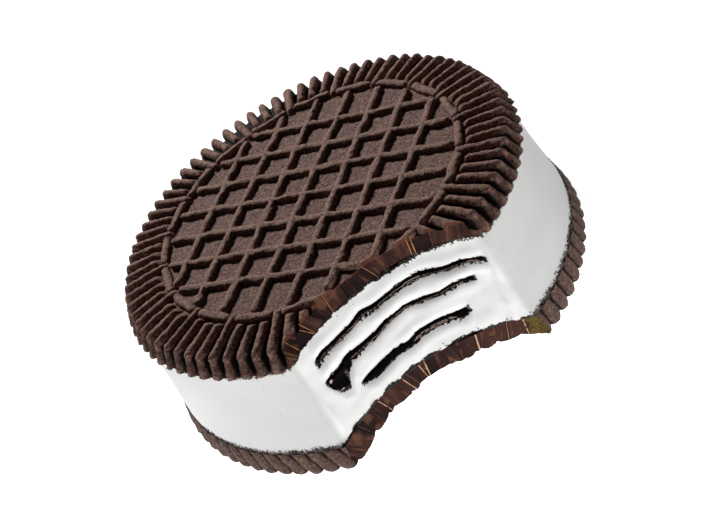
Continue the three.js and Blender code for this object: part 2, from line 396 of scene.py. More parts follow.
def wafer_blank(name, rows, lean):
    """The closed turned blank at the grooves' floor. It stores how far each point is from the crest
    and which way its column faces, also where the columns lean."""
    angles = [
        PATTERN_TURN + 2 * math.pi * (rib + part) / (DASH_COUNT * RIBS_PER_DASH)
        for rib in range(DASH_COUNT * RIBS_PER_DASH)
        for part in RIB_COLUMNS
    ]
    columns = len(angles)
    points = [(0.0, 0.0, rows[0][1])]
    pushes = [(0.0, 0.0, 0.0, 0.0)]
    faces = []
    foot_z = rows[0][1]
    for floor_r, floor_z, crest_r, crest_z in rows:
        share = max(0.0, (crest_z / foot_z - 0.1) / 0.9)
        for angle in angles:
            leaning = share * lean / crest_r * max(0.0, math.cos(angle + LEAN_AZIMUTH)) ** 2
            turned = angle + leaning
            points.append((floor_r * math.cos(turned), floor_r * math.sin(turned), floor_z))
            pushes.append((crest_r - floor_r, crest_z - floor_z, crest_r, angle))
    for j in range(columns):
        faces.append((0, 1 + (j + 1) % columns, 1 + j))
    for i in range(len(rows) - 1):
        first, second = 1 + i * columns, 1 + (i + 1) * columns
        for j in range(columns):
            k = (j + 1) % columns
            faces.append((first + j, first + k, second + k, second + j))
    # Inside the ribs the field needs only a quarter of the columns.
    ratio = 4
    coarse = columns // ratio
    last = 1 + (len(rows) - 1) * columns
    inner = rows[-1][0]
    rings = round(inner / FIELD_STEP)
    for i in range(1, rings):
        start = len(points)
        radius = inner * (1 - i / rings)
        for j in range(coarse):
            angle = angles[j * ratio]
            points.append((radius * math.cos(angle), radius * math.sin(angle), rows[-1][1]))
            pushes.append((0.0, 0.0, radius, angle))
        for j in range(coarse):
            k = (j + 1) % coarse
            if i == 1:
                outer = [last + (j * ratio + step) % columns for step in range(ratio + 1)]
                faces.append((*outer, start + k, start + j))
            else:
                faces.append((start - coarse + j, start - coarse + k, start + k, start + j))
    points.append((0.0, 0.0, rows[-1][1]))
    pushes.append((0.0, 0.0, 0.0, 0.0))
    start = len(points) - 1 - coarse
    for j in range(coarse):
        faces.append((start + j, start + (j + 1) % coarse, len(points) - 1))
    blank = link_mesh(name, points, faces)
    for index, label in enumerate(("push_out", "push_up", "rib_radius", "column")):
        store(blank, label, [p[index] for p in pushes])
    return blank


SOCKET_TYPES = {
    float: "NodeSocketFloat",
    int: "NodeSocketInt",
    Vector: "NodeSocketVector",
    bpy.types.Object: "NodeSocketObject",
    bpy.types.Material: "NodeSocketMaterial",
}


def geometry_graph(name, sizes):
    """A Geometry Nodes tree with those named inputs. Returns its graph, its mesh and its inputs."""
    tree = bpy.data.node_groups.new(name, "GeometryNodeTree")
    tree.interface.new_socket("Geometry", in_out="INPUT", socket_type="NodeSocketGeometry")
    tree.interface.new_socket("Geometry", in_out="OUTPUT", socket_type="NodeSocketGeometry")
    for label, kind in sizes.items():
        tree.interface.new_socket(label, in_out="INPUT", socket_type=SOCKET_TYPES[kind])
    graph = Graph(tree)
    start = graph.node("NodeGroupInput", {}, {})
    return graph, start, {label: start.output(label) for label in sizes}


def close_graph(graph, mesh, *finishes):
    """Ends a tree in Realize Instances and a Set Material for each finish and where it goes."""
    mesh = graph.node("GeometryNodeRealizeInstances", {}, {"Geometry": mesh})
    for material, where in finishes:
        mesh = graph.node(
            "GeometryNodeSetMaterial", {}, {"Geometry": mesh, "Selection": where, "Material": material})
    graph.node("NodeGroupOutput", {}, {"Geometry": mesh})


def grown(name, source, tree, values):
    """The plain mesh that a tree makes of a source object, which is removed."""
    modifier = source.modifiers.new(name, "NODES")
    modifier.node_group = tree
    for item in tree.interface.items_tree:
        if item.in_out == "INPUT" and item.name in values:
            modifier[item.identifier] = values[item.name]
    depsgraph = bpy.context.evaluated_depsgraph_get()
    evaluated = source.evaluated_get(depsgraph)
    mesh = bpy.data.meshes.new_from_object(evaluated, preserve_all_data_layers=True, depsgraph=depsgraph)
    bpy.data.objects.remove(source)
    piece = bpy.data.objects.new(name, mesh)
    bpy.context.scene.collection.objects.link(piece)
    return piece


def stamping_tree():
    """Raises the ribs, adds the lattice and the dashes, roughens the dough and takes the bite."""
    graph, mesh, size = geometry_graph("stamped wafer", {
        "Rib Count": int, "Rib Half Width": float, "Rib Curve": float,
        "Short Rib Start": float, "Long Rib Start": float,
        "Lattice Pitch": float, "Lattice Reach": float, "Lattice Shift": Vector,
        "Ridge Width": float, "Field Depth": float, "Dash Count": int, "Dash Radius": float,
        "Dash Length": float, "Pattern Turn": float, "Grain": float, "Bite": bpy.types.Object,
        "Seed": int, "Dough": bpy.types.Material, "Bitten Dough": bpy.types.Material,
    })
    place = graph.node("GeometryNodeInputPosition", {}, {})
    x, y, z = graph.axes(place)

    def stored(label):
        return graph.node("GeometryNodeInputNamedAttribute", {"data_type": "FLOAT"}, {"Name": label})

    def chance(low, high, ids, salt):
        sockets = {"Min": low, "Max": high, "ID": ids, "Seed": size["Seed"] + salt}
        return graph.node("FunctionNodeRandomValue", {"data_type": "FLOAT"}, sockets)

    # Ribs, each a little different from its neighbours
    pitch = 2 * math.pi / size["Rib Count"]
    turns = (stored("column") - size["Pattern Turn"]) / pitch
    wander = (graph.noise(place, 3 * MM, 3.0) - 0.5) * 0.22
    turns = turns + wander
    nearest = turns.math("ROUND", turns)
    number = nearest.math("FLOORED_MODULO", nearest, size["Rib Count"])
    across = abs(turns - nearest) / (size["Rib Half Width"] * chance(0.9, 1.08, number, 1))
    section = ((1.0 - across ** size["Rib Curve"]).at_least(0.0)) ** 0.5
    is_long = abs(number.math("FLOORED_MODULO", number, RIBS_PER_DASH) - RIBS_PER_DASH / 2) < 0.5
    start = size["Short Rib Start"] + (size["Long Rib Start"] - size["Short Rib Start"]) * is_long
    start = start + chance(-0.25 * MM, 0.25 * MM, number, 2)
    run = ((stored("rib_radius") - start) / (0.9 * MM)).clipped()
    rounded = (1.0 - (1.0 - run) ** 2.0).at_least(0.0) ** 0.5
    raised = section * rounded * chance(0.92, 1.03, number, 3)
    outward = graph.vector("NORMALIZE", graph.point(x, y))
    sideways = graph.scaled(outward, raised * stored("push_out"))
    upward = graph.point(z=raised * stored("push_up"))
    mesh = graph.moved(mesh, graph.vector("ADD", sideways, upward))

    # Lattice ridges and dashes are rounded bars of one section.
    half_width = size["Ridge Width"] / 2.0
    ring = graph.node(
        "GeometryNodeCurvePrimitiveCircle", {"mode": "RADIUS"}, {"Resolution": 16, "Radius": half_width})

    def bars(curve):
        """Rounded bars along the curves, standing on the field."""
        curve = graph.node(
            "GeometryNodeResampleCurve", {"mode": "LENGTH"}, {"Curve": curve, "Length": BAR_STEP})
        along = graph.node("GeometryNodeSplineParameter", {}, {}).output("Length")
        whole = graph.node("GeometryNodeSplineLength", {}, {})
        gap = (along.at_most(whole - along) / half_width + 0.06).clipped()
        dome = (1.0 - (1.0 - gap) ** 2.0) ** 0.5
        bar = graph.node(
            "GeometryNodeCurveToMesh", {},
            {"Curve": curve, "Profile Curve": ring, "Scale": dome, "Fill Caps": True})
        part = z / half_width
        lifted = (abs(part) ** 0.5) * (part.math("SIGN", part)) * size["Field Depth"] - size["Field Depth"]
        lowered = lifted.at_least(-BAR_DEPTH)
        flat = graph.point(x, y, lowered)
        return graph.node("GeometryNodeSetPosition", {}, {"Geometry": bar, "Position": flat})

    def parallel_ridges(axis):
        """Seven ridges side by side, each cut to the round field."""
        shift = graph.axes(size["Lattice Shift"])[axis]
        first = graph.node("ShaderNodeCombineXYZ", {}, {axis: shift - 3.0 * size["Lattice Pitch"]})
        step = graph.node("ShaderNodeCombineXYZ", {}, {axis: size["Lattice Pitch"]})
        line = graph.node(
            "GeometryNodeMeshLine", {"mode": "OFFSET", "count_mode": "TOTAL"},
            {"Count": 7, "Start Location": first, "Offset": step})
        aside = (x, y)[axis]
        half = (size["Lattice Reach"] ** 2.0 - aside ** 2.0) ** 0.5
        along = Vector((axis, 1 - axis, 0))
        unit = graph.node("GeometryNodeCurvePrimitiveLine", {}, {"Start": -along, "End": along})
        stretch = graph.node("ShaderNodeCombineXYZ", {}, {1 - axis: half, axis: 1.0, 2: 1.0})
        return bars(graph.copies(line, unit, Scale=stretch))

    half_dash = size["Dash Length"] / 2.0
    first, last = (graph.point(y=half_dash * side) for side in (-1.0, 1.0))
    dash = bars(graph.node("GeometryNodeCurvePrimitiveLine", {}, {"Start": first, "End": last}))
    ring_points = graph.node(
        "GeometryNodeMeshCircle", {"fill_type": "NONE"},
        {"Vertices": size["Dash Count"], "Radius": size["Dash Radius"]})
    facing = graph.point(z=y.math("ARCTAN2", y, x))
    dashes = graph.copies(ring_points, dash, Rotation=facing)
    turn = graph.point(z=size["Pattern Turn"])
    stray = graph.noise(place, STRAY_SIZE, 1.0).output("Color")
    stray = graph.vector("SUBTRACT", stray, (0.5, 0.5, 0.5))
    stray = graph.vector("MULTIPLY", stray, BAR_STRAY)
    raised_parts = []
    for part in (parallel_ridges(0), parallel_ridges(1), dashes):
        part = graph.node("GeometryNodeTransform", {}, {"Geometry": part, "Rotation": turn})
        raised_parts.append(graph.moved(part, stray))
    union = {"operation": "UNION", "solver": "MANIFOLD"}
    mesh = graph.node("GeometryNodeMeshBoolean", union, {1: [mesh, *raised_parts]})

    # The dough is crumbly, with soft bumps and a finer grain.
    normal = graph.node("GeometryNodeInputNormal", {}, {})
    soft = (graph.noise(place, 1.6 * MM, 2.0, 0.6) - 0.5) * 1.6
    rough = soft + (graph.noise(place, 0.75 * MM, 1.0) - 0.5) * 3.0
    mesh = graph.moved(mesh, graph.scaled(normal, rough * size["Grain"]))

    # The bite
    bite = graph.node("GeometryNodeObjectInfo", {}, {"Object": size["Bite"]}).output("Geometry")
    mesh = graph.node(
        "GeometryNodeMeshBoolean", {"operation": "DIFFERENCE", "solver": "MANIFOLD"},
        {"Mesh 1": mesh, "Mesh 2": bite})
    mesh = graph.node(
        "GeometryNodeSetShadeSmooth", {"domain": "FACE"}, {"Geometry": mesh, "Shade Smooth": True})
    angle = graph.node("GeometryNodeInputMeshEdgeAngle", {}, {})
    mesh = graph.node(
        "GeometryNodeSetShadeSmooth", {"domain": "EDGE"},
        {"Geometry": mesh, "Selection": angle > math.radians(50), "Shade Smooth": False})
    close_graph(graph, mesh, (size["Dough"], True), (size["Bitten Dough"], stored("bitten") > 0.5))
    return graph.tree


# The dough's grain, its specks of bran, its reddish patches, its finest relief and the colour of the
# painted shade in its grooves
GRAIN_SIZE = 0.42 * MM
PATCH_SIZE = 1.1 * MM
RELIEF_SIZE = 0.34 * MM
GROOVE_SHADE_COLOUR = rgb(11, 7, 7)


def cocoa_material(name, crest_height, height, centre, radii, stamp, look):
    """Dry cocoa dough from the oven: greyish brown and grainy, paler on the crests, partly from wear and
    partly as a painted highlight, with painted shade in the grooves between the ribs and lower down the
    rim's side. The radii are those of the ribs at the shoulder and at the inner edge."""
    material, shader, graph, place = new_material(name)
    x, y, z = graph.axes(place)
    level = graph.point(x - centre.x, y - centre.y)
    radius = graph.vector("LENGTH", level).output("Value")
    depth = abs(z - crest_height)
    grain = graph.noise(place, GRAIN_SIZE, 3.0, 0.75)
    stops = list(zip((0.34, 0.45, 0.56, 0.70), look["tones"]))
    colour = graph.node("ShaderNodeValToRGB", {"stops": stops}, {"Fac": grain})
    on_ribs = radius.eased(29.5 * MM, 31.5 * MM)
    patch = graph.noise(place, PATCH_SIZE, 3.0, 0.6)
    red = patch.eased(0.47, 0.72) * (0.2 + look["redness"] * on_ribs)
    colour = graph.mixed(red, colour, rgb(128, 80, 60))
    # Tiny reddish, amber and violet specks of bran and cocoa, and dark pits
    specks = graph.node("ShaderNodeTexVoronoi", {}, {"Vector": place, "Scale": 1.0 / GRAIN_SIZE})
    tint = specks.output("Color")
    chosen = graph.node("ShaderNodeSeparateColor", {}, {"Color": tint})
    tinted = (chosen > 0.66) * (0.2 + 0.5 * look["redness"] * on_ribs)
    colour = graph.mixed(tinted, colour, tint, "OVERLAY")
    colour = graph.mixed((chosen.output("Green") > 0.93) * 0.5, colour, rgb(176, 138, 108))
    pit = (chosen.output("Blue") > 0.84) * (0.25 + look["pits"] * on_ribs)
    colour = graph.mixed(pit, colour, rgb(30, 20, 19))
    # The ribs stand out from the grooves, which get painted shade, near black.
    shoulder, inner = radii
    slope = (radius - SHORT_RIB_START) * (stamp["drop"] / (shoulder - SHORT_RIB_START))
    crest_radius = shoulder + (inner - shoulder) * (depth / height)
    below = (depth - slope.at_least(0.0)).at_most(crest_radius - radius)
    ragged = below + (grain - 0.5) * look["fray"]
    # The crests are paler, partly from wear and partly as a painted highlight.
    wear_and_highlight = ((grain - 0.32) * 2.4).clipped() * look["wear_and_highlight"]
    crest = (1.0 - ragged.eased(0.0, 0.7 * MM)) * wear_and_highlight
    colour = graph.mixed(crest, colour, look["crest"])
    first, last = look["groove"]
    groove = ragged.eased(first * stamp["rib"], last * stamp["rib"]) * on_ribs
    colour = graph.mixed(groove * look["groove_shade"], colour, GROOVE_SHADE_COLOUR)
    # Painted shade: the ribs darken lower down the rim's side.
    first, last = look["side"]
    side = (depth + (patch - 0.5) * 1.2 * MM).eased(first, last)
    side = side * below.eased(look["side_from"], 0.3 * MM) * on_ribs
    colour = graph.mixed(side * look["side_shade"], colour, look["side_colour"])
    graph.feed(shader, "Base Color", colour)
    graph.feed(shader, "Roughness", 0.62 + 0.25 * grain)
    graph.feed(shader, "Specular IOR Level", 0.1)
    height = graph.noise(place, RELIEF_SIZE, 3.0, 0.65)
    graph.feed(shader, "Normal", graph.bump(height, 0.9, look["relief"]))
    return material


# The bitten face: its soft flutes, painted as paler and darker bands of highlight and shade, its paler and
# darker clumps and its wrinkles
FLUTE_SIZE = 1.5 * MM
CLUMP_SIZE = 3.0 * MM
WRINKLE_SIZE = 3.4 * MM


def bitten_material(name, upper_edge, crease_highlight_colour, end_colour, end_place, warmth):
    """The face that teeth leave in the dough: smooth and slightly glossy plates of dark brown with flutes
    painted as paler and darker bands, between creases with a painted highlight along each and painted shade
    at its foot, redder towards the right by warmth, with a thin painted highlight along the upper edge and
    a crumbly end."""
    material, shader, graph, place = new_material(name)
    wall = graph.attribute("bite_wall", "Vector")
    along, crease, plate = graph.axes(wall)
    x, y, z = graph.axes(place)
    drawn = graph.noise(graph.point(along, z * 0.15), FLUTE_SIZE, 2.0, 0.6)
    clump = graph.noise(place, CLUMP_SIZE, 2.0, 0.5)
    # The flutes are painted as paler and darker bands, a painted highlight and shade beside their bump.
    shade = (drawn * 1.1 + plate * 0.45 + clump * 0.35 - 0.52).clipped()
    colour = graph.node("ShaderNodeValToRGB", {"stops": [
        (0.10, rgb(26, 15, 14)),
        (0.40, rgb(46, 28, 26)),
        (0.62, rgb(66, 42, 35)),
        (0.90, rgb(104, 70, 56)),
    ]}, {"Fac": shade})
    colour = graph.mixed(x.eased(2.0 * MM, 18.0 * MM) * warmth, colour, rgb(104, 62, 46))
    # Fine wrinkles that run up and down beside the creases
    pull = graph.noise(graph.point(along, z * 0.12), WRINKLE_SIZE, 2.0, 0.45)
    strand = abs((pull * 7.0).math("FRACT", pull * 7.0) - 0.5)
    wrinkle = (1.0 - strand.eased(0.02, 0.2)) * clump.eased(0.42, 0.6)
    colour = graph.mixed(wrinkle * 0.5, colour, rgb(122, 82, 62))
    broken = graph.noise(place, 0.9 * MM, 2.0, 0.5)
    # Each crease gets a painted highlight along its crest, which is faint at the left end.
    bright = 0.25 + 0.75 * x.eased(-17.0 * MM, -13.0 * MM)
    line = crease.eased(0.35, 0.75) * broken.eased(0.30, 0.5) * bright
    colour = graph.mixed(line, colour, crease_highlight_colour)
    # Painted shade at the foot of each crease
    crease_foot_shade = crease.eased(0.02, 0.15) * (1.0 - crease.eased(0.2, 0.4))
    colour = graph.mixed(crease_foot_shade * 0.7, colour, rgb(22, 12, 11))
    # A thin painted highlight along the upper edge of the bitten face
    edge_highlight = (z + (clump - 0.5) * 0.8 * MM).eased(upper_edge - 0.20 * MM, upper_edge - 0.06 * MM)
    colour = graph.mixed(edge_highlight * 0.5, colour, rgb(104, 62, 44))
    end = (x + (clump - 0.5) * 2.0 * MM).eased(end_place, end_place + 0.5 * MM)
    crumbly = graph.noise(place, 0.35 * MM, 2.0, 0.6).eased(0.26, 0.6)
    colour = graph.mixed(end, colour, graph.mixed(crumbly, rgb(80, 62, 32), end_colour))
    graph.feed(shader, "Base Color", colour)
    graph.feed(shader, "Roughness", 0.30 + 0.22 * drawn + 0.3 * end)
    graph.feed(shader, "Specular IOR Level", 0.02)
    relief = drawn * 0.7 + wrinkle * 0.4 + crease * 0.4 + crumbly * end
    graph.feed(shader, "Normal", graph.bump(relief, 0.9, 0.35 * MM))
    return material


top_low, top_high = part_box("top_wafer")
bottom_low, bottom_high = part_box("bottom_wafer")
stamping = stamping_tree()


# The bite's wall, as seen from the middle of its round edge, and its plates between two creases
BITE_HALF_ANGLE = math.radians(76)
BITE_ROWS = 16
PLATE_WIDTHS = (0.7 * MM, 2.3 * MM, 3.1 * MM, 4.0 * MM, 5.2 * MM)
CREASE_STEPS = np.array([-2.2, -1.1, -0.5, 0.0, 0.5, 1.1, 2.2])
CREASE_HEIGHT = 0.13 * MM
WALL_COLUMN = 0.42 * MM
NARROWEST_COLUMN = 0.03 * MM


def bite_cutter(name, lower, upper, jut, seed):
    """The space that the mouthful left. Each of lower and upper is the centre, radius and height of
    the bite's round edge there. Its wall is broken into plates, with a raised crease between two,
    that stand out or back by up to jut."""
    chance = random.Random(seed)
    reach = BITE_HALF_ANGLE * lower[2]
    creases = [-reach]
    while creases[-1] < reach:
        creases.append(creases[-1] + chance.choice(PLATE_WIDTHS))
    creases = np.array(creases)
    offsets = np.array([chance.uniform(-1.0, 1.0) for c in creases]) * jut
    strengths = np.array([chance.uniform(0.35, 1.0) for c in creases])
    widths = np.array([chance.uniform(0.10, 0.18) for c in creases]) * MM
    slants = np.array([chance.uniform(-0.28, 0.28) for c in creases])
    tints = np.array([chance.random() for c in creases])
    around = (creases[:, None] + widths[:, None] * CREASE_STEPS).ravel()
    alongs = np.concatenate([around, np.arange(-reach, reach, WALL_COLUMN)])
    alongs = np.unique(np.round(np.clip(alongs, -reach, reach) / NARROWEST_COLUMN)) * NARROWEST_COLUMN
    ridges = strengths * np.exp(-((alongs[:, None] - creases) / widths) ** 2)
    ridge = ridges.max(axis=1)
    plates = np.searchsorted(creases, alongs) % len(creases)
    points = []
    marks = []
    for i in range(BITE_ROWS + 1):
        t = i / BITE_ROWS
        centre_x, centre_y, radius, height = (a + (b - a) * t for a, b in zip(lower, upper))
        for k, along in enumerate(alongs):
            leaning = along + np.interp(along, creases, slants) * (t - 0.5) * (upper[3] - lower[3])
            angle = math.pi / 2 + leaning / lower[2]
            uneven = noise.noise(Vector((along / (1.3 * MM), 3.0 * t, seed))) * 0.10 * MM
            out = radius + np.interp(along, creases, offsets) - CREASE_HEIGHT * ridge[k] + uneven
            points.append((centre_x + out * math.cos(angle), centre_y + out * math.sin(angle), height))
            marks.append((along, ridge[k], tints[plates[k]]))
    wide = len(alongs)
    faces = []
    for i in range(BITE_ROWS):
        for j in range(wide - 1):
            a = i * wide + j
            faces.append((a, a + 1, a + wide + 1, a + wide))
    # Behind the wall the cutter is a plain box.
    for i in (0, BITE_ROWS):
        height = points[i * wide][2]
        points.append((upper[0] + upper[2], upper[1] - upper[2], height))
        points.append((upper[0] - upper[2], upper[1] - upper[2], height))
    marks += [(0.0, 0.0, 0.0)] * 4
    base = (BITE_ROWS + 1) * wide
    low_ring = [*range(wide), base + 1, base]
    high_ring = [*range(base - wide, base), base + 3, base + 2]
    left = [*range(wide - 1, base, wide), base + 3, base + 1]
    right = [*range(base - wide, -1, -wide), base, base + 2]
    faces += [low_ring[::-1], high_ring, left[::-1], right[::-1]]
    faces.append((base, base + 2, base + 3, base + 1))
    cutter = link_mesh(name, points, faces)
    mesh = cutter.data
    corners = mesh.attributes.new("bite_wall", "FLOAT_VECTOR", "CORNER")
    corners.data.foreach_set("vector", [c for loop in mesh.loops for c in marks[loop.vertex_index]])
    mesh.attributes.new("bitten", "FLOAT", "FACE").data.foreach_set("value", [1.0] * len(faces))
    return cutter


def stamped_wafer(name, replaced, rows, middle, flipped, stamp, shift, cutter, dough, bitten, seed):
    """One finished wafer, with the middle of its stamped face placed there."""
    blank = wafer_blank(name, rows, stamp["lean"])
    placing = Matrix.Translation(middle)
    if flipped:
        placing = placing @ Matrix.Rotation(math.pi, 4, "X")
    cutter.data.transform(placing.inverted())
    wafer = grown(name, blank, stamping, {
        "Rib Count": DASH_COUNT * RIBS_PER_DASH, "Rib Half Width": stamp["half"],
        "Rib Curve": stamp["curve"],
        "Short Rib Start": SHORT_RIB_START, "Long Rib Start": LONG_RIB_START,
        "Lattice Pitch": LATTICE_PITCH, "Lattice Reach": LATTICE_REACH, "Lattice Shift": shift,
        "Ridge Width": RIDGE_WIDTH, "Field Depth": stamp["field"], "Dash Count": DASH_COUNT,
        "Dash Radius": DASH_RING_RADIUS, "Dash Length": DASH_LENGTH, "Pattern Turn": PATTERN_TURN,
        "Grain": stamp["grain"], "Bite": cutter, "Seed": seed, "Dough": dough, "Bitten Dough": bitten,
    })
    bpy.data.objects.remove(cutter)
    wafer.data.transform(placing)
    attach(wafer, "root")
    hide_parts(replaced)
    return wafer


top_middle = Vector((0.0, 0.0, top_high.z))
top_radii = (TOP_SHOULDER, top_high.y)
top_thick = top_high.z - top_low.z
top_cutter = bite_cutter(
    "top_bite",
    (2.5 * MM, -55.7 * MM, 28.9 * MM, 22.5 * MM),
    (1.6 * MM, -59.2 * MM, 31.5 * MM, 29.5 * MM), 0.26 * MM, 4)
top_wafer = stamped_wafer(
    "stamped_top_wafer", "top_wafer",
    wafer_rows(top_thick, top_radii[1], top_radii[0], TOP_STAMP), top_middle, False, TOP_STAMP,
    Matrix.Rotation(-PATTERN_TURN, 3, "Z") @ TOP_LATTICE_SHIFT, top_cutter,
    cocoa_material("top_wafer_dough", top_high.z, top_thick, top_middle, top_radii, TOP_STAMP, {
        "tones": (rgb(60, 44, 40), rgb(110, 86, 80), rgb(138, 110, 102), rgb(186, 158, 142)),
        "crest": rgb(182, 146, 128), "wear_and_highlight": 0.85, "fray": 0.5 * MM, "pits": 0.3, "redness": 0.5,
        "groove": (0.48, 0.92), "groove_shade": 1.0, "side": (1.2 * MM, 2.6 * MM), "side_from": 0.02 * MM,
        "side_colour": rgb(24, 18, 17), "side_shade": 0.55, "relief": 0.28 * MM,
    }),
    bitten_material(
        "bitten_top_wafer", top_high.z - TOP_STAMP["field"], rgb(206, 146, 100),
        rgb(126, 76, 38), 20.4 * MM, 0.0), 3)

bottom_middle = Vector((LOWER_SHIFT.x, LOWER_SHIFT.y, bottom_low.z))
bottom_radii = ((bottom_high.x - bottom_low.x) / 2, BOTTOM_EDGE)
# The wafer is turned over about X, so its lattice is shifted before that.
bottom_lattice_shift = Vector((-LOWER_SHIFT.x, LOWER_SHIFT.y, 0.0))
bottom_thick = bottom_high.z - bottom_low.z
bottom_cutter = bite_cutter(
    "bottom_bite",
    (2.6 * MM, -56.3 * MM, 27.8 * MM, -1.0 * MM),
    (1.6 * MM, -61.7 * MM, 31.9 * MM, 6.5 * MM), 0.4 * MM, 9)
stamped_wafer(
    "stamped_bottom_wafer", "bottom_wafer",
    wafer_rows(bottom_thick, bottom_radii[1], bottom_radii[0], BOTTOM_STAMP), bottom_middle, True,
    BOTTOM_STAMP, Matrix.Rotation(-PATTERN_TURN, 3, "Z") @ bottom_lattice_shift, bottom_cutter,
    cocoa_material(
        "bottom_wafer_dough", bottom_low.z, bottom_thick, bottom_middle, bottom_radii, BOTTOM_STAMP, {
            "tones": (rgb(76, 60, 55), rgb(96, 77, 71), rgb(114, 94, 87), rgb(142, 121, 111)),
            "crest": rgb(124, 104, 96), "wear_and_highlight": 0.6, "fray": 0.3 * MM, "pits": 0.1, "redness": 0.1,
            "groove": (0.12, 0.5), "groove_shade": 0.9, "side": (2.4 * MM, 0.3 * MM),
            "side_from": -0.3 * MM, "side_colour": rgb(44, 40, 46), "side_shade": 0.65,
            "relief": 0.22 * MM,
        }),
    bitten_material(
        "bitten_bottom_wafer", bottom_high.z + 1.0 * MM, rgb(216, 172, 140), rgb(112, 94, 48), 18.6 * MM,
        0.3), 11)

# The cream filling
# A thick round of smooth white cream, whipped with sugar and pressed between the wafers, so that it
# stands a little wider at its foot. The bite left a soft wall that bulges between the ripples, with
# a fold at each corner.
CREAM_FOOT = bottom_high.z - 0.05 * MM
CREAM_TOP = top_low.z + 0.05 * MM
CREAM_RADII = (40.8 * MM, 39.7 * MM, 38.8 * MM)
BITE_AT_FOOT = (1.8 * MM, -60.8 * MM, 31.2 * MM)
BITE_AT_TOP = (2.3 * MM, -56.4 * MM, 29.5 * MM)
CORNER_ROUND = 1.6 * MM
ROW_STEP = 0.3 * MM
WALL_STEP = 0.3 * MM
SIDE_STEP = 1.2 * MM
# The three ripples, as places along the bite wall: x, z and the thickness there, all in mm
RIPPLES = {
    "upper": (
        (-14.3, 19.35, 1.4), (-12.4, 19.65, 1.3), (-9.6, 19.25, 1.1), (-6.1, 19.2, 1.1),
        (-3.6, 19.7, 1.35), (-1.2, 19.2, 1.25), (1.7, 19.55, 1.25), (4.0, 19.8, 1.3),
        (6.3, 19.8, 1.6), (8.3, 19.8, 1.3), (12.0, 19.0, 1.0), (16.0, 19.0, 1.05), (18.8, 18.5, 0.9),
    ),
    "middle": (
        (-14.8, 15.3, 0.9), (-14.2, 14.6, 2.4), (-13.2, 13.6, 4.3), (-11.6, 13.2, 5.0),
        (-10.6, 14.4, 2.9), (-9.2, 15.1, 1.8), (-6.7, 14.85, 1.35), (-3.3, 14.8, 1.15),
        (-0.8, 15.45, 1.0), (3.4, 16.0, 0.9), (6.1, 15.45, 1.15), (9.5, 15.1, 0.9),
        (12.3, 15.6, 1.0), (15.9, 15.6, 1.1),
    ),
    "lower": (
        (-10.0, 9.8, 0.5), (-8.6, 9.45, 1.3), (-7.3, 9.25, 1.8), (-4.8, 9.3, 1.75),
        (-2.4, 9.7, 1.6), (0.7, 9.45, 1.6), (3.0, 10.0, 1.7), (6.2, 10.1, 1.5),
        (8.9, 9.95, 1.55), (10.5, 9.55, 1.9), (12.4, 10.1, 1.2),
    ),
}
# The folds beside the two corners of the bite: x and depth
CORNER_FOLDS = ((19.0 * MM, 0.30 * MM), (-17.2 * MM, 0.22 * MM))


def cream_side(height):
    """The filling's outer radius at that height."""
    t = (height - CREAM_FOOT) / (CREAM_TOP - CREAM_FOOT)
    foot, middle, top = CREAM_RADII
    return foot * (1 - t) * (1 - 2 * t) + middle * 4 * t * (1 - t) + top * t * (2 * t - 1)


def bite_circle(height):
    """The centre and radius of the bite in the filling at that height."""
    t = (height - CREAM_FOOT) / (CREAM_TOP - CREAM_FOOT)
    return [a + (b - a) * t for a, b in zip(BITE_AT_FOOT, BITE_AT_TOP)]


def cream_reach(azimuths, height):
    """How far the filling reaches from the axis in those directions, and where that is the bite."""
    centre_x, centre_y, radius = bite_circle(height)
    ahead = centre_x * np.cos(azimuths) + centre_y * np.sin(azimuths)
    inside = ahead ** 2 - centre_x ** 2 - centre_y ** 2 + radius ** 2
    meets = (ahead > 0) & (inside > 0)
    wall = np.where(meets, ahead - np.sqrt(np.maximum(inside, 0)), 1.0)
    share = (CREAM_TOP - height) / (CREAM_TOP - CREAM_FOOT)
    shift = LOWER_SHIFT.x * np.cos(azimuths) + LOWER_SHIFT.y * np.sin(azimuths)
    side = cream_side(height) + share * shift
    blend = np.clip(1 - np.abs(wall - side) / CORNER_ROUND, 0, 1)
    on_wall = np.clip((side - wall) / (1.0 * MM), 0, 1)
    return np.minimum(wall, side) - blend ** 2 * CORNER_ROUND / 4, on_wall


def cream_directions():
    """The filling's columns: close together along the bite and wide apart round the back."""
    middle = (CREAM_FOOT + CREAM_TOP) / 2
    fine = np.linspace(math.pi / 2, math.pi * 2.5, 40001)
    reach = cream_reach(fine, middle)[0]
    x, y = reach * np.cos(fine), reach * np.sin(fine)
    nearby = np.abs(fine - math.pi * 1.5) < math.radians(36)
    step = np.where(nearby, WALL_STEP, SIDE_STEP)[1:]
    count = np.concatenate([[0], np.cumsum(np.hypot(np.diff(x), np.diff(y)) / step)])
    return np.interp(np.linspace(0, count[-1], round(count[-1]) + 1)[:-1], count, fine)


def ripple_at(name, x):
    """The height and thickness of a ripple at those x, and 1 where there is one."""
    places = np.array(RIPPLES[name]) * MM
    height = np.interp(x, places[:, 0], places[:, 1])
    thick = np.interp(x, places[:, 0], places[:, 2])
    beyond = np.maximum(places[0, 0] - x, x - places[-1, 0])
    return height, thick, np.clip(-beyond / (0.6 * MM), 0, 1), np.maximum(beyond, 0)


def soft_noise(points, size, seed):
    """Smooth noise of about -1 to 1 at each point, with features of that size."""
    return np.array([noise.noise(Vector(p) / size + Vector((seed, 0, 0))) for p in points])


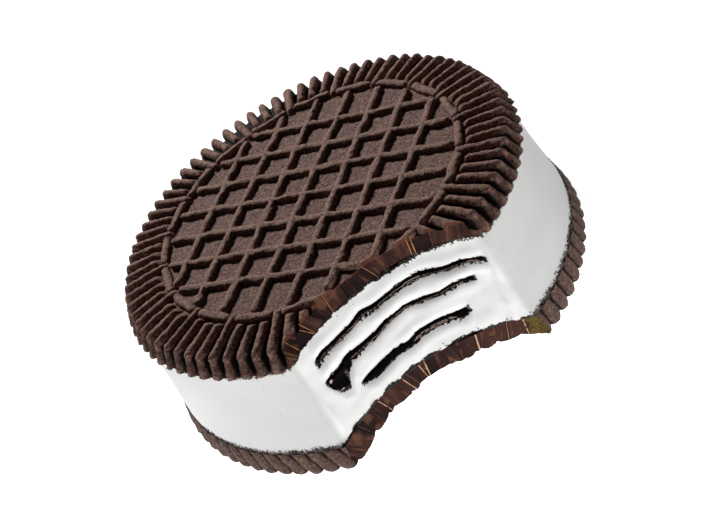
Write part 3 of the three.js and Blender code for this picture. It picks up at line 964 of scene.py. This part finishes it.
def cream_material():
    """Smooth white sugar cream with painted shade greying its outer side, smeared with chocolate beside the
    ripples and against the wafers.
    """
    material, shader, graph, place = new_material("white_cream")
    x, y, z = graph.axes(place)
    ripple = graph.attribute("from_ripple", "Fac")
    soft = graph.noise(place, 5.0 * MM, 2.0, 0.5)
    outside = 1.0 - graph.attribute("on_bite", "Fac")
    colour = graph.mixed(soft, rgb(243, 243, 241), rgb(249, 249, 248))
    # Painted shade: the outer side is greyer than the bitten wall.
    colour = graph.mixed(outside * 0.9, colour, rgb(221, 221, 220))
    ragged = graph.noise(place, 0.55 * MM, 4.0, 0.65)
    coarse = graph.noise(place, 2.2 * MM, 2.0, 0.5)
    # The cream turns a little greyer close to the ripples.
    grey_near_ripples = (1.0 - (ripple - (coarse - 0.35) * 0.9 * MM).eased(-0.1 * MM, 0.8 * MM)) * 0.08
    colour = graph.mixed(grey_near_ripples, colour, rgb(120, 112, 110))
    fuzzy = coarse.eased(0.48, 0.68)
    smear = (ripple - (ragged - 0.45) * (fuzzy * 2.4 + 0.25) * MM) / (0.10 * MM)
    crumb_line = graph.noise(place, 0.42 * MM, 3.0, 0.75)
    # A thin wavy line of crumbs along both wafers, which frays into whiskers on the outer side
    edge = (CREAM_TOP - z).at_most(z - CREAM_FOOT)
    upright = graph.point(x, y, z * 0.3)
    whisker = graph.noise(upright, 0.30 * MM, 2.0, 0.6)
    band = 0.26 + (coarse - 0.42) * 1.9 + outside * (whisker - 0.42) * 2.6
    dirt = (edge - (band + (crumb_line - 0.5) * 0.9) * MM) / (0.14 * MM)
    haze = (1.0 - edge.eased(0.3 * MM, 1.5 * MM)) * whisker.eased(0.35, 0.6) * outside
    colour = graph.mixed(haze * 0.6, colour, rgb(122, 116, 114))
    mask = (1.0 - smear.at_most(dirt)).clipped()
    colour = graph.mixed(mask, colour, graph.mixed(outside * whisker, rgb(15, 9, 9), rgb(112, 104, 100)))
    speck = graph.node("ShaderNodeTexVoronoi", {}, {"Vector": place, "Scale": 1.0 / (2.6 * MM)})
    spot = (1.0 - speck.eased(0.03, 0.055)) * (coarse > 0.56)
    colour = graph.mixed(spot * 0.7, colour, rgb(60, 48, 44))
    graph.feed(shader, "Base Color", colour)
    graph.feed(shader, "Roughness", 0.46 - 0.16 * mask)
    graph.feed(shader, "Specular IOR Level", 0.12)
    height = graph.noise(place, 1.1 * MM, 3.0, 0.5) * 0.5 + mask * 0.5
    graph.feed(shader, "Normal", graph.bump(height, 0.35, 0.15 * MM))
    return material


def lofted_round(rows, name, material):
    """A closed mesh from rings of points, from the bottom ring to the top one."""
    rings, wide = rows.shape[:2]
    points = [tuple(p) for p in rows.reshape(-1, 3)]
    faces = [
        (i * wide + j, i * wide + (j + 1) % wide, (i + 1) * wide + (j + 1) % wide, (i + 1) * wide + j)
        for i in range(rings - 1) for j in range(wide)
    ]
    points.append((0.0, 0.0, float(rows[0, :, 2].mean())))
    points.append((0.0, 0.0, float(rows[-1, :, 2].mean())))
    last = (rings - 1) * wide
    faces += [(len(points) - 2, (j + 1) % wide, j) for j in range(wide)]
    faces += [(len(points) - 1, last + j, last + (j + 1) % wide) for j in range(wide)]
    piece = link_mesh(name, points, faces, [material])
    piece.data.polygons.foreach_set("use_smooth", [True] * len(faces))
    return piece


directions = cream_directions()
heights = np.linspace(CREAM_FOOT, CREAM_TOP, round((CREAM_TOP - CREAM_FOOT) / ROW_STEP) + 1)
skin = []
on_bite = []
for height in heights:
    reach, on_wall = cream_reach(directions, height)
    level = np.full(reach.shape, height)
    skin.append(np.stack([reach * np.cos(directions), reach * np.sin(directions), level], axis=1))
    on_bite.append(on_wall)
skin = np.array(skin)
on_bite = np.array(on_bite)
around = np.roll(skin, -1, axis=1) - np.roll(skin, 1, axis=1)
upwards = np.gradient(skin, axis=0)
outwards = np.cross(around, upwards)
outwards /= np.linalg.norm(outwards, axis=2, keepdims=True)

flat = skin.reshape(-1, 3)
swell = np.zeros(skin.shape[:2])
from_ripple = np.full(skin.shape[:2], 20 * MM)
for name in RIPPLES:
    height, thick, present, beyond = ripple_at(name, skin[..., 0])
    off = np.abs(skin[..., 2] - height)
    lip = np.exp(-((off - thick * 0.5 - 1.3 * MM) / (1.0 * MM)) ** 2)
    groove = 0.16 * lip - 0.42 * np.exp(-(off / (thick * 0.6)) ** 2)
    swell += groove * present * on_bite * MM
    near = np.hypot(np.maximum(off - thick / 2, 0), beyond) + 20 * MM * (1 - on_bite)
    from_ripple = np.minimum(from_ripple, near)
big = soft_noise(flat, 7.0 * MM, 3).reshape(swell.shape)
middling = soft_noise(flat, 2.6 * MM, 8).reshape(swell.shape)
small = soft_noise(flat, 1.0 * MM, 12).reshape(swell.shape)
swell += (big * (0.12 + 0.22 * on_bite) + middling * (0.03 + 0.10 * on_bite) + small * 0.025) * MM
for corner, deep in CORNER_FOLDS:
    inwards = (corner - skin[..., 0]) * np.sign(corner) + (skin[..., 2] - 14 * MM) * 0.12
    fold = np.exp(-(inwards / (0.55 * MM)) ** 2)
    fold -= 0.7 * np.exp(-((inwards - 1.3 * MM) / (0.7 * MM)) ** 2)
    swell += fold * deep * np.clip(on_bite * 3, 0, 1)
edge = np.minimum(skin[..., 2] - CREAM_FOOT, CREAM_TOP - skin[..., 2])
skin = skin + outwards * (swell * np.clip(0.35 + edge / (1.5 * MM), 0, 1))[..., None]
skin[0, :, 2] = CREAM_FOOT
skin[-1, :, 2] = CREAM_TOP

cream = lofted_round(skin, "bitten_cream", cream_material())
store(cream, "from_ripple", np.concatenate([from_ripple.ravel(), [20 * MM] * 2]))
store(cream, "on_bite", np.concatenate([on_bite.ravel(), [0.0] * 2]))
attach(cream, "root")
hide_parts("cream_filling")

# The chocolate ripples
# Three thin sheets of soft chocolate lie in the cream. Each was piped on as the filling was laid,
# and shows at the bite as a ragged glossy seam. The middle one has run together at its left end.
SHEET_HALF = 0.26 * MM
SHEET_RADII = {"upper": 36.7 * MM, "middle": 35.6 * MM, "lower": 32.2 * MM}
NOSE_TURNS = 14
NOSE_DEPTH = 0.30 * MM
# The rings that the sheet has inside its rim, as shares of the way out
INNER_RINGS = (0.25, 0.6, 0.85, 0.96)
# How much of the light each ripple's seam catches along x in mm
SHINE = {
    "upper": (
        (-14.0, 0.1), (-12.5, 0.6), (4.4, 0.6), (5.4, 1.0), (8.0, 1.0), (9.0, 0.5),
        (15.4, 0.6), (16.2, 1.0), (17.3, 1.0), (18.2, 0.2),
    ),
    "middle": ((-9.4, 0.0), (-8.4, 0.6), (13.2, 0.6), (14.4, 0.0)),
    "lower": ((1.0, 0.0), (2.0, 0.9), (9.0, 0.9), (10.0, 0.0)),
}
# The pooled drop's two painted glints and the painted lilac glints along its rim, as x and z
GLINTS = ((-13.0 * MM, 11.8 * MM), (-13.9 * MM, 15.0 * MM))
LILAC_GLINT_RIM = (-10.9 * MM, 12.8 * MM)


def chocolate_material():
    """Dark glossy chocolate, with paler lines where the seam catches the light."""
    material, shader, graph, place = new_material("dark_chocolate")
    x, y, z = graph.axes(place)
    seam = graph.attribute("seam", "Fac")
    shine = graph.attribute("shine", "Fac")
    broken = graph.noise(place, 1.3 * MM, 3.0, 0.6)
    fine = graph.noise(place, 0.5 * MM, 2.0, 0.6)
    colour = graph.mixed(broken, rgb(3, 2, 2), rgb(9, 5, 5))
    # The brightest stretches show two lines.
    apart = shine.eased(0.7, 1.0) * 0.42
    line = abs(abs(seam + 0.3 + (broken - 0.5) * 0.8) - apart)
    streak = (1.0 - line.eased(0.05, 0.20)) * fine.eased(0.40, 0.52) * shine.eased(0.0, 0.5)
    colour = graph.mixed(streak * 0.8, colour, graph.mixed(shine, rgb(120, 78, 68), rgb(196, 168, 158)))
    for across, up in GLINTS:
        level = graph.point(x - across, z - up)
        glint = 1.0 - graph.vector("LENGTH", level).output("Value").eased(0.15 * MM, 0.45 * MM)
        colour = graph.mixed(glint * 0.8, colour, rgb(226, 196, 196))
    # Painted lilac glints along the pool's rim
    across, up = LILAC_GLINT_RIM
    rim = 1.0 - abs(x - across).eased(0.1 * MM, 0.45 * MM)
    rim = rim * (1.0 - abs(z - up).eased(0.8 * MM, 1.5 * MM)) * fine.eased(0.3, 0.6)
    colour = graph.mixed(rim * 0.7, colour, rgb(132, 112, 124))
    graph.feed(shader, "Base Color", colour)
    graph.feed(shader, "Roughness", 0.16 + 0.2 * broken)
    graph.feed(shader, "Specular IOR Level", 0.01)
    graph.feed(shader, "Normal", graph.bump(fine, 0.5, 0.12 * MM))
    return material


def ripple_sheet(name, replaced, ripple, seed, material):
    """A thin round sheet whose rim swells to the seam along the bite."""
    rest = float(np.mean([place[1] for place in RIPPLES[ripple]])) * MM
    height = np.full(directions.shape, rest)
    # The wall's reach and the ripple's height there depend on each other, so they are found in turn.
    for _ in range(3):
        pairs = zip(directions, height)
        reach = np.array([cream_reach(np.array([azimuth]), level)[0][0] for azimuth, level in pairs])
        height, thick, present, _ = ripple_at(ripple, reach * np.cos(directions))
    on_wall = cream_reach(directions, rest)[1]
    present = present * on_wall
    height = rest + (height - rest) * np.clip(on_wall * 2, 0, 1)
    wall = np.stack([reach * np.cos(directions), reach * np.sin(directions), height], axis=1)
    centres = np.array([bite_circle(h)[:2] for h in height])
    facing = centres - wall[:, :2]
    facing /= np.linalg.norm(facing, axis=1, keepdims=True)
    facing = np.where(on_wall[:, None] > 0, facing, wall[:, :2] / reach[:, None])
    lumps = soft_noise(wall, 1.0 * MM, seed)
    frays = soft_noise(wall, 0.35 * MM, seed + 5)
    half = SHEET_HALF + (thick * 0.4 * (1 + 0.30 * lumps + 0.25 * frays) - SHEET_HALF) * present
    half = np.maximum(half, 0.2 * MM)
    inset = np.minimum(reach, SHEET_RADII[ripple])
    inset = np.where(on_wall > 0, reach - 2.2 * MM * (1 - present), inset)
    base = np.stack([inset * np.cos(directions), inset * np.sin(directions), height], axis=1)
    pool = np.clip(thick / (3.0 * MM) - 0.4, 0, 1) * present
    rings = []
    seams = []

    def add_inner_ring(share, side):
        ring = base * share
        ring[:, 2] = rest + (base[:, 2] - rest) * share ** 3 + SHEET_HALF * side
        rings.append(ring)
        seams.append(np.full(len(directions), side))

    for share in INNER_RINGS:
        add_inner_ring(share, -1.0)
    for k in range(NOSE_TURNS + 1):
        turn = -math.pi / 2 + math.pi * k / NOSE_TURNS
        out = NOSE_DEPTH * (abs(math.cos(turn)) ** 0.6 - 1.0) + 0.07 * MM * lumps * math.cos(turn)
        out = out - NOSE_DEPTH * pool * math.cos(turn) ** 3 + 0.12 * MM * pool
        ring = base.copy()
        ring[:, :2] += facing * out[:, None]
        ring[:, 2] += half * math.sin(turn) + frays * 0.06 * MM
        rings.append(ring)
        seams.append(np.full(len(directions), math.sin(turn)))
    for share in reversed(INNER_RINGS):
        add_inner_ring(share, 1.0)
    sheet = lofted_round(np.array(rings), name, material)
    store(sheet, "seam", np.concatenate([np.array(seams).ravel(), [-1.0, 1.0]]))
    glow = np.array(SHINE[ripple]) * (MM, 1.0)
    shine = np.interp(base[:, 0], glow[:, 0], glow[:, 1]) * present
    store(sheet, "shine", np.concatenate([np.tile(shine, len(rings)), [0.0, 0.0]]))
    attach(sheet, "root")
    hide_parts(replaced)


chocolate = chocolate_material()
for seed, ripple in enumerate(RIPPLES):
    ripple_sheet(ripple + "_chocolate_ripple", "chocolate_layer_" + ripple, ripple, seed * 7 + 2, chocolate)

# Crumbs
# Dark crumbs and slivers of wafer cling to the cream along both wafers, and hang from the upper
# wafer's rim.
CRUMB_SIZE = 0.24 * MM
# How far from the wafers the crumbs reach, and how many there are on a square metre
CREAM_BAND = 1.0 * MM
CREAM_DENSITY = 22e6
RIM_BAND = 0.45 * MM
RIM_DENSITY = 5e6
# Inside this circle lies the bite's wall, which has few of them.
BITE_MIDDLE = Vector((2.0, -57.0, 0.0)) * MM
BITE_RADIUS = 30.0 * MM
BITTEN_SHARE = 0.12


def crumb_material():
    material, shader, graph, place = new_material("wafer_crumbs")
    tone = graph.noise(place, 0.5 * MM, 2.0, 0.5)
    graph.feed(shader, "Base Color", graph.mixed(tone.eased(0.3, 0.7), rgb(24, 18, 17), rgb(88, 78, 74)))
    graph.feed(shader, "Roughness", 0.8)
    height = graph.noise(place, 0.15 * MM, 2.0, 0.6)
    graph.feed(shader, "Normal", graph.bump(height, 0.6, 0.05 * MM))
    return material


def crumb_tree():
    """Scatters crumbs on a skin, most of them close to its foot and to its top."""
    graph, skin_mesh, size = geometry_graph("clinging crumbs", {
        "Crumb Size": float, "Foot": float, "Top": float, "Band": float, "Density": float,
        "Bite Middle": Vector, "Bite Radius": float, "Bitten Share": float, "Seed": int,
        "Crumb": bpy.types.Material,
    })
    place = graph.node("GeometryNodeInputPosition", {}, {})
    z = graph.axes(place)[2]
    edge = (z - size["Foot"]).at_most(size["Top"] - z)
    upright = graph.axes(graph.node("GeometryNodeInputNormal", {}, {}))[2]
    clump = graph.noise(place, 2.4 * MM, 2.0, 0.5).eased(0.30, 0.62)
    density = size["Density"] * (1.0 - edge / size["Band"]).clipped() * clump
    density = density * (abs(upright) < 0.6)
    from_bite = graph.vector("SUBTRACT", place, size["Bite Middle"])
    from_bite = graph.vector("MULTIPLY", from_bite, (1.0, 1.0, 0.0))
    outside = graph.vector("LENGTH", from_bite).output("Value") > size["Bite Radius"]
    density = density * (size["Bitten Share"] + (1.0 - size["Bitten Share"]) * outside)
    spots = graph.node(
        "GeometryNodeDistributePointsOnFaces", {"distribute_method": "RANDOM"},
        {"Mesh": skin_mesh, "Density": density, "Seed": size["Seed"]})
    crumb = graph.node("GeometryNodeMeshIcoSphere", {}, {"Radius": size["Crumb Size"], "Subdivisions": 1})

    def chance(low, high, salt):
        kind = "FLOAT_VECTOR" if isinstance(low, tuple) else "FLOAT"
        sockets = {"Min": low, "Max": high, "Seed": size["Seed"] + salt}
        return graph.node("FunctionNodeRandomValue", {"data_type": kind}, sockets)

    long_one = chance(0.0, 1.0, 3) > 0.8
    stretch = graph.point(0.8 + 1.5 * long_one, 0.8 - 0.35 * long_one, 0.6)
    uneven = graph.vector("MULTIPLY", stretch, chance((0.35, 0.35, 0.35), (1.25, 1.1, 1.0), 1))
    turned = chance((0.0, 0.0, 0.0), (6.28, 6.28, 6.28), 2)
    crumbs = graph.node(
        "GeometryNodeInstanceOnPoints", {},
        {"Points": spots, "Instance": crumb, "Rotation": turned, "Scale": uneven})
    close_graph(graph, crumbs, (size["Crumb"], True))
    return graph.tree


def crumbs_on(name, skin_piece, foot, top, band, density, tree, material):
    """Crumbs on a copy of that piece's skin."""
    skin_mesh = skin_piece.data
    points = [v.co for v in skin_mesh.vertices]
    source = link_mesh(name + "_source", points, [p.vertices[:] for p in skin_mesh.polygons])
    crumbs = grown(name, source, tree, {
        "Crumb Size": CRUMB_SIZE, "Foot": foot, "Top": top, "Band": band, "Density": density,
        "Bite Middle": BITE_MIDDLE, "Bite Radius": BITE_RADIUS, "Bitten Share": BITTEN_SHARE,
        "Seed": 5, "Crumb": material,
    })
    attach(crumbs, "root")


scatter, crumb = crumb_tree(), crumb_material()
crumbs_on(
    "clinging_crumbs", cream, CREAM_FOOT, CREAM_TOP, CREAM_BAND, CREAM_DENSITY, scatter, crumb)
# On the upper wafer only the foot of the rim counts, so the top is put out of reach.
crumbs_on("rim_crumbs", top_wafer, top_low.z, 1.0, RIM_BAND, RIM_DENSITY, scatter, crumb)
